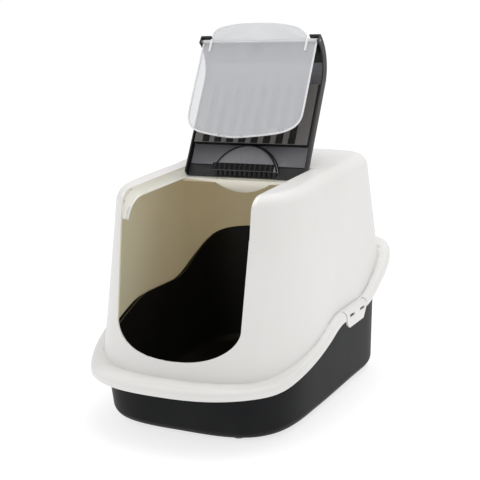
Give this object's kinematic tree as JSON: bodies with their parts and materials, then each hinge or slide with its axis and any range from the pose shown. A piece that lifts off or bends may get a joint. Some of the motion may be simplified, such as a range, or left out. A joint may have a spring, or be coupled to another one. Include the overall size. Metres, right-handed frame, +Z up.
{
  "type": "cat litter box with hood",
  "caption": "Hooded cat litter box: tray with out-turned rim, lift-off hood with round front, hinged top lid holding a carbon filter, and a translucent swing door.",
  "frame": {"origin": "on the floor, under the middle of the hood's skirt", "axes": "+X to the box's right as seen from the front, +Y towards the rear, +Z up; the lid is stored open"},
  "size_m": [0.3905, 0.56, 0.6093],
  "materials": {
    "hood_plastic": "smooth moulded, warm white",
    "tray_plastic": "smooth moulded, charcoal",
    "lid_plastic": "smooth moulded, dark grey",
    "door_plastic": "frosted translucent",
    "filter_felt": "black carbon felt",
    "foot_rubber": "soft black rubber"
  },
  "bodies": {
    "tray": {"litter_tray": "tray_plastic", "foot_front_left": "foot_rubber", "foot_front_right": "foot_rubber", "foot_rear_left": "foot_rubber", "foot_rear_right": "foot_rubber"},
    "hood": {"hood": "hood_plastic"},
    "left_tab": {"snap_tab_left": "hood_plastic"},
    "right_tab": {"snap_tab_right": "hood_plastic"},
    "lid": {"lid": "lid_plastic", "filter_cover": "lid_plastic", "carbon_filter": "filter_felt"},
    "door": {"swing_door": "door_plastic"}
  },
  "joints": [
    {"name": "hood_lift", "type": "slide", "parent": "tray", "child": "hood", "axis": [0, 0, 1], "range_m": [0, 0.25]},
    {"name": "lid_hinge", "type": "hinge", "parent": "hood", "child": "lid", "pos_m": [0, 0.036, 0.371], "axis": [1, 0, 0], "range_deg": [0, 121.7]},
    {"name": "door_hinge", "type": "hinge", "parent": "lid", "child": "door", "pos_m": [0, 0.09767, 0.5792], "axis": [1, 0, 0], "range_deg": [-114, 0]},
    {"name": "left_tab_bend", "type": "hinge", "parent": "hood", "child": "left_tab", "pos_m": [-0.1866, 0.034, 0.159], "axis": [0, 1, 0], "range_deg": [0, 15], "stiffness_Nm_per_rad": 0.05},
    {"name": "right_tab_bend", "type": "hinge", "parent": "hood", "child": "right_tab", "pos_m": [0.1866, 0.034, 0.159], "axis": [0, -1, 0], "range_deg": [0, 15], "stiffness_Nm_per_rad": 0.05}
  ]
}
